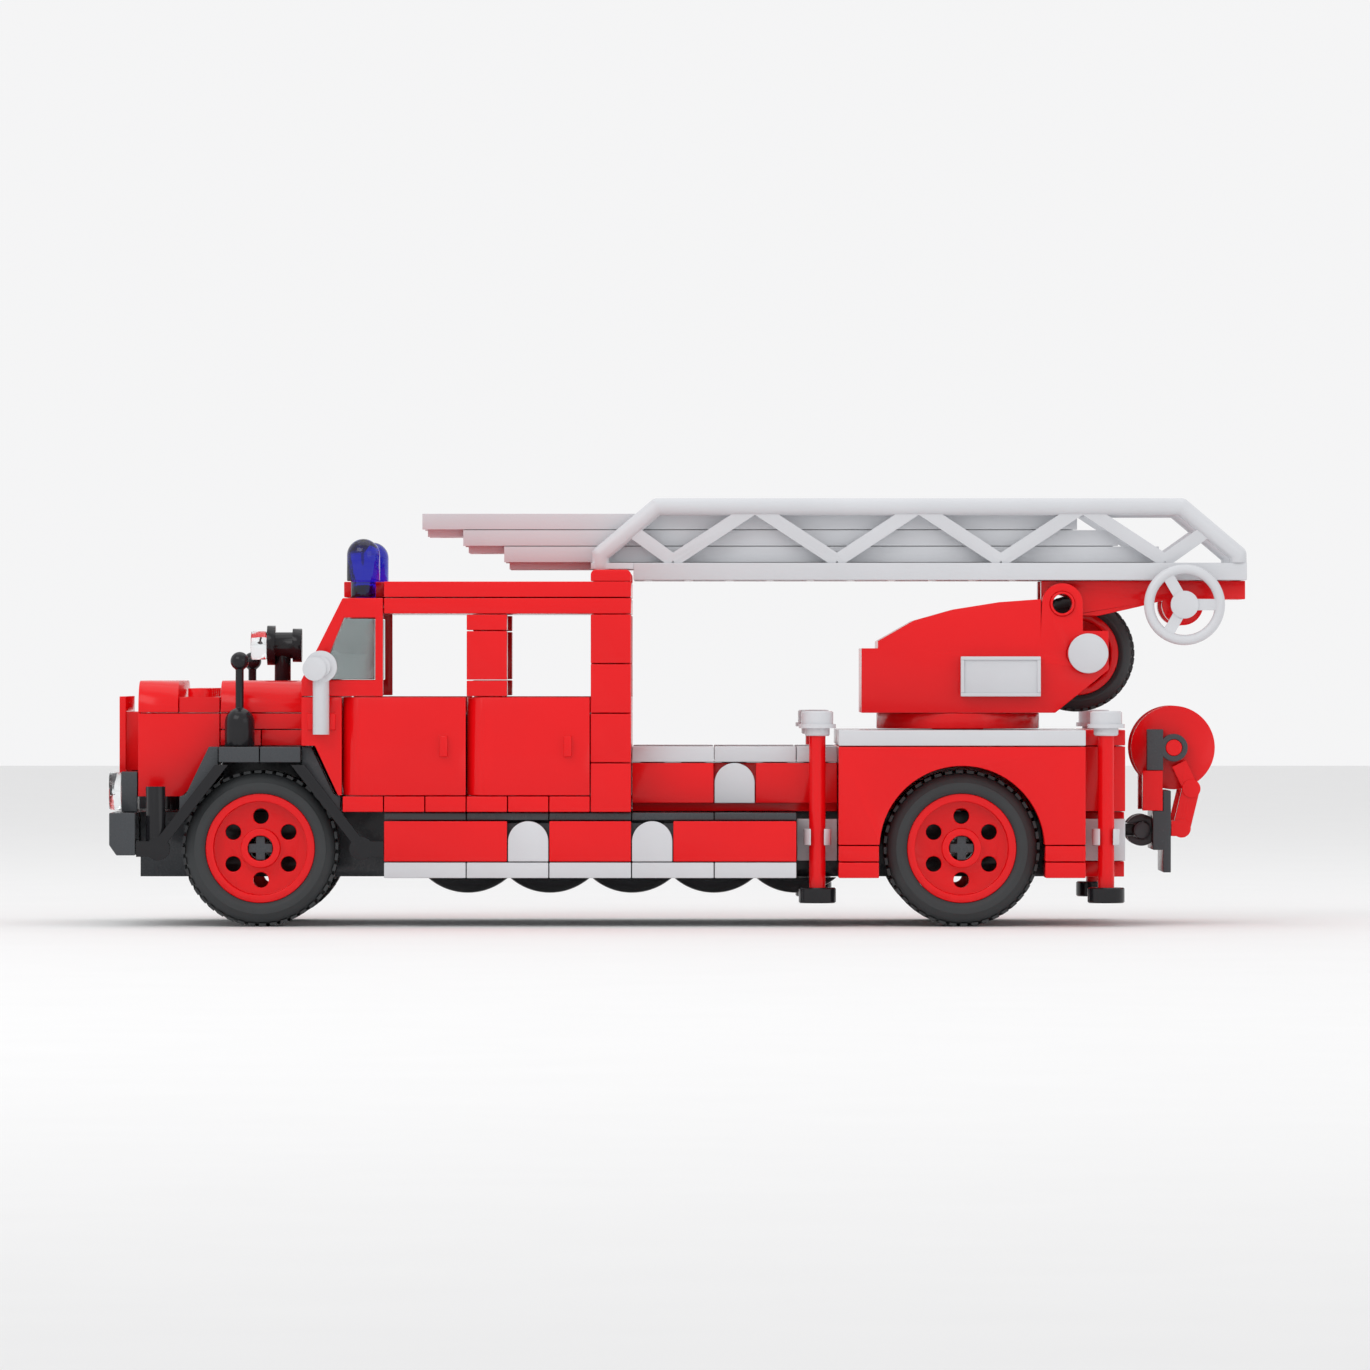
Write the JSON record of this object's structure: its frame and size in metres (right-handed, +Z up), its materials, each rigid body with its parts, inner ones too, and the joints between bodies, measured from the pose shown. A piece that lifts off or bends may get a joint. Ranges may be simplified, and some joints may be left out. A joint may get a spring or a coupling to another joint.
{
  "type": "toy fire engine with turntable ladder",
  "caption": "Brick-built toy fire engine with a rounded bonnet, open-sided cab, turntable ladder, stabiliser legs and a rear hose reel.",
  "frame": {"origin": "on the ground, midway between the foremost lamp lens and the ladder's rear end, on the centre line", "axes": "+X to the rear of the vehicle, +Y to its right-hand side, +Z up"},
  "size_m": [0.2216, 0.073, 0.0833],
  "materials": {
    "red_brick": "glossy moulded red",
    "light_grey": "glossy moulded light grey",
    "dark_grey": "glossy moulded dark grey",
    "black_gloss": "glossy moulded black",
    "tyre_rubber": "matt rubber",
    "clear_plastic": "clear moulded plastic",
    "blue_clear": "deep blue clear plastic"
  },
  "bodies": {
    "chassis": {"chassis": "dark_grey", "underside_domes": "black_gloss", "side_panels": "red_brick", "edge_tiles": "light_grey", "arch_top_tiles": "light_grey", "ledge_plates": "dark_grey", "leg_brackets": "light_grey", "rear_box": "red_brick", "rear_corners": "red_brick", "tow_bar": "dark_grey", "cab_floor": "red_brick", "cab_walls": "red_brick", "cab_roof": "red_brick", "roof_posts": "red_brick", "windscreen_frame": "red_brick", "windscreen_glass": "clear_plastic", "seats": "black_gloss", "beacons": "blue_clear", "bonnet_sides": "red_brick", "bonnet_top": "red_brick", "cowl": "red_brick", "grille": "red_brick", "fenders": "dark_grey", "fender_arms": "black_gloss", "bumper": "dark_grey", "lamp_lenses": "clear_plastic", "marker_levers": "black_gloss", "searchlight": "black_gloss", "mirrors": "light_grey"},
    "front_wheels": {"front_tyres": "tyre_rubber", "front_rims": "red_brick", "front_axle": "black_gloss"},
    "rear_wheels": {"rear_tyres": "tyre_rubber", "rear_rims": "red_brick", "rear_axle": "black_gloss"},
    "turntable": {"turntable": "red_brick", "turret": "red_brick", "turret_tiles": "light_grey"},
    "drum": {"drum_tyre": "tyre_rubber", "drum_rim": "red_brick"},
    "ladder": {"ladder_arm": "red_brick", "arm_block": "red_brick", "ladder_base": "light_grey", "ladder_rungs": "light_grey", "ladder_trusses": "light_grey"},
    "section_2": {"ladder_section_2": "light_grey"},
    "section_3": {"ladder_section_3": "light_grey"},
    "section_4": {"ladder_section_4": "light_grey"},
    "handwheel": {"handwheel": "light_grey"},
    "reel_frame": {"reel_frame": "dark_grey", "reel_arms": "red_brick"},
    "hose_reel": {"hose_reel": "red_brick"},
    "door_front_left": {"door_front_left": "red_brick"},
    "door_front_right": {"door_front_right": "red_brick"},
    "door_rear_left": {"door_rear_left": "red_brick"},
    "door_rear_right": {"door_rear_right": "red_brick"},
    "leg_front_left": {"leg_front_left": "red_brick"},
    "leg_front_right": {"leg_front_right": "red_brick"},
    "leg_rear_left": {"leg_rear_left": "red_brick"},
    "leg_rear_right": {"leg_rear_right": "red_brick"}
  },
  "joints": [
    {"name": "front_wheels_roll", "type": "hinge", "parent": "chassis", "child": "front_wheels", "pos_m": [-0.08115, 0, 0.0152], "axis": [0, 1, 0], "continuous": true},
    {"name": "rear_wheels_roll", "type": "hinge", "parent": "chassis", "child": "rear_wheels", "pos_m": [0.05485, 0, 0.0152], "axis": [0, 1, 0], "continuous": true},
    {"name": "turntable_turn", "type": "hinge", "parent": "chassis", "child": "turntable", "pos_m": [0.05485, 0, 0.0414], "axis": [0, 0, 1], "continuous": true},
    {"name": "ladder_lift", "type": "hinge", "parent": "turntable", "child": "ladder", "pos_m": [0.07485, 0, 0.0627], "axis": [0, 1, 0], "range_deg": [0, 30]},
    {"name": "ladder_slide_2", "type": "slide", "parent": "ladder", "child": "section_2", "axis": [-1, 0, 0], "range_m": [0, 0.06]},
    {"name": "ladder_slide_3", "type": "slide", "parent": "section_2", "child": "section_3", "axis": [-1, 0, 0], "range_m": [0, 0.06]},
    {"name": "ladder_slide_4", "type": "slide", "parent": "section_3", "child": "section_4", "axis": [-1, 0, 0], "range_m": [0, 0.06]},
    {"name": "drum_spin", "type": "hinge", "parent": "turntable", "child": "drum", "pos_m": [0.07805, 0, 0.053], "axis": [0, 1, 0], "continuous": true},
    {"name": "handwheel_spin", "type": "hinge", "parent": "ladder", "child": "handwheel", "pos_m": [0.09855, 0, 0.0625], "axis": [0, 1, 0], "continuous": true},
    {"name": "leg_front_left_slide", "type": "slide", "parent": "chassis", "child": "leg_front_left", "axis": [0, 0, -1], "range_m": [0, 0.0044]},
    {"name": "leg_front_right_slide", "type": "slide", "parent": "chassis", "child": "leg_front_right", "axis": [0, 0, -1], "range_m": [0, 0.0044]},
    {"name": "leg_rear_left_slide", "type": "slide", "parent": "chassis", "child": "leg_rear_left", "axis": [0, 0, -1], "range_m": [0, 0.0044]},
    {"name": "leg_rear_right_slide", "type": "slide", "parent": "chassis", "child": "leg_rear_right", "axis": [0, 0, -1], "range_m": [0, 0.0044]},
    {"name": "door_front_left_hinge", "type": "hinge", "parent": "chassis", "child": "door_front_left", "pos_m": [-0.06145, -0.0283, 0.0349], "axis": [0, 0, -1], "range_deg": [0, 80]},
    {"name": "door_front_right_hinge", "type": "hinge", "parent": "chassis", "child": "door_front_right", "pos_m": [-0.06145, 0.0283, 0.0349], "axis": [0, 0, 1], "range_deg": [0, 80]},
    {"name": "door_rear_left_hinge", "type": "hinge", "parent": "chassis", "child": "door_rear_left", "pos_m": [-0.03745, -0.0283, 0.0349], "axis": [0, 0, -1], "range_deg": [0, 80]},
    {"name": "door_rear_right_hinge", "type": "hinge", "parent": "chassis", "child": "door_rear_right", "pos_m": [-0.03745, 0.0283, 0.0349], "axis": [0, 0, 1], "range_deg": [0, 80]},
    {"name": "reel_fold", "type": "hinge", "parent": "chassis", "child": "reel_frame", "pos_m": [0.09075, 0, 0.01836], "axis": [0, 1, 0], "range_deg": [0, 40]},
    {"name": "reel_spin", "type": "hinge", "parent": "reel_frame", "child": "hose_reel", "pos_m": [0.09685, 0, 0.03456], "axis": [0, 1, 0], "continuous": true}
  ]
}
